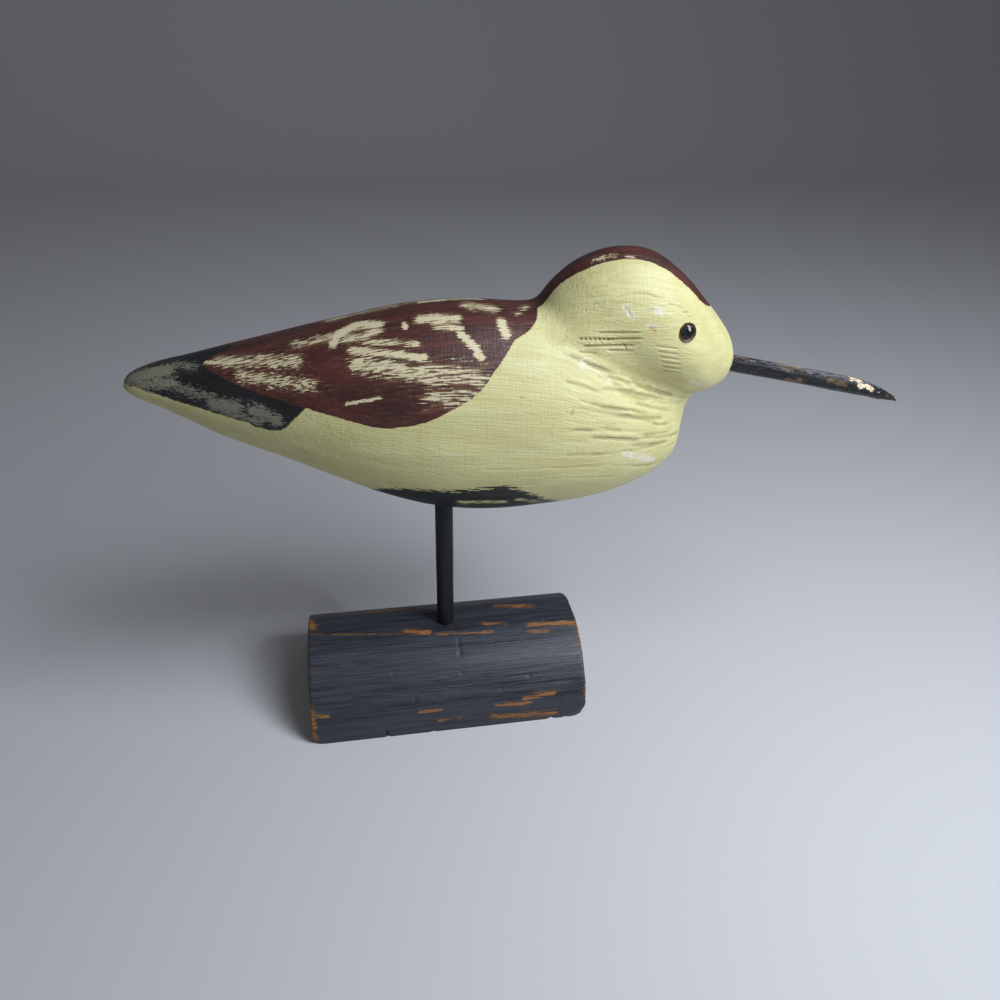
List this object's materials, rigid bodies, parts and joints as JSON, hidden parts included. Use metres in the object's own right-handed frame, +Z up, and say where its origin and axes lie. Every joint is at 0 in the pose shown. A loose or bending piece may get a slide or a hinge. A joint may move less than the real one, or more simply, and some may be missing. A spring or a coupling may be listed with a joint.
{
  "type": "shorebird decoy figurine",
  "caption": "Carved and painted wooden shorebird with a long drooping bill and glass eyes, standing on a thin rod over a half-round wooden base, for display on a shelf or table.",
  "frame": {"origin": "on the base's underside, straight under the rod", "axes": "+X towards the bill, along the bird and the base; +Z up; the bird is mirrored about y = 0"},
  "size_m": [0.2604, 0.0578, 0.1671],
  "materials": {
    "base_stain": "blue-black paint rubbed to a soft gloss, brown wood showing at worn edges",
    "rod_paint": "plain black paint",
    "bird_paint": "cream paint over rasped wood, with a maroon back and cap and black tail and belly, dry brushed",
    "bill_paint": "black paint with small chips to pale wood",
    "eye_glass": "clear glass dome over an amber iris and black pupil"
  },
  "bodies": {
    "root": {"base_block": "base_stain", "support_rod": "rod_paint", "bird_body": "bird_paint", "bill": "bill_paint", "eye_near": "eye_glass", "eye_far": "eye_glass"}
  },
  "joints": []
}
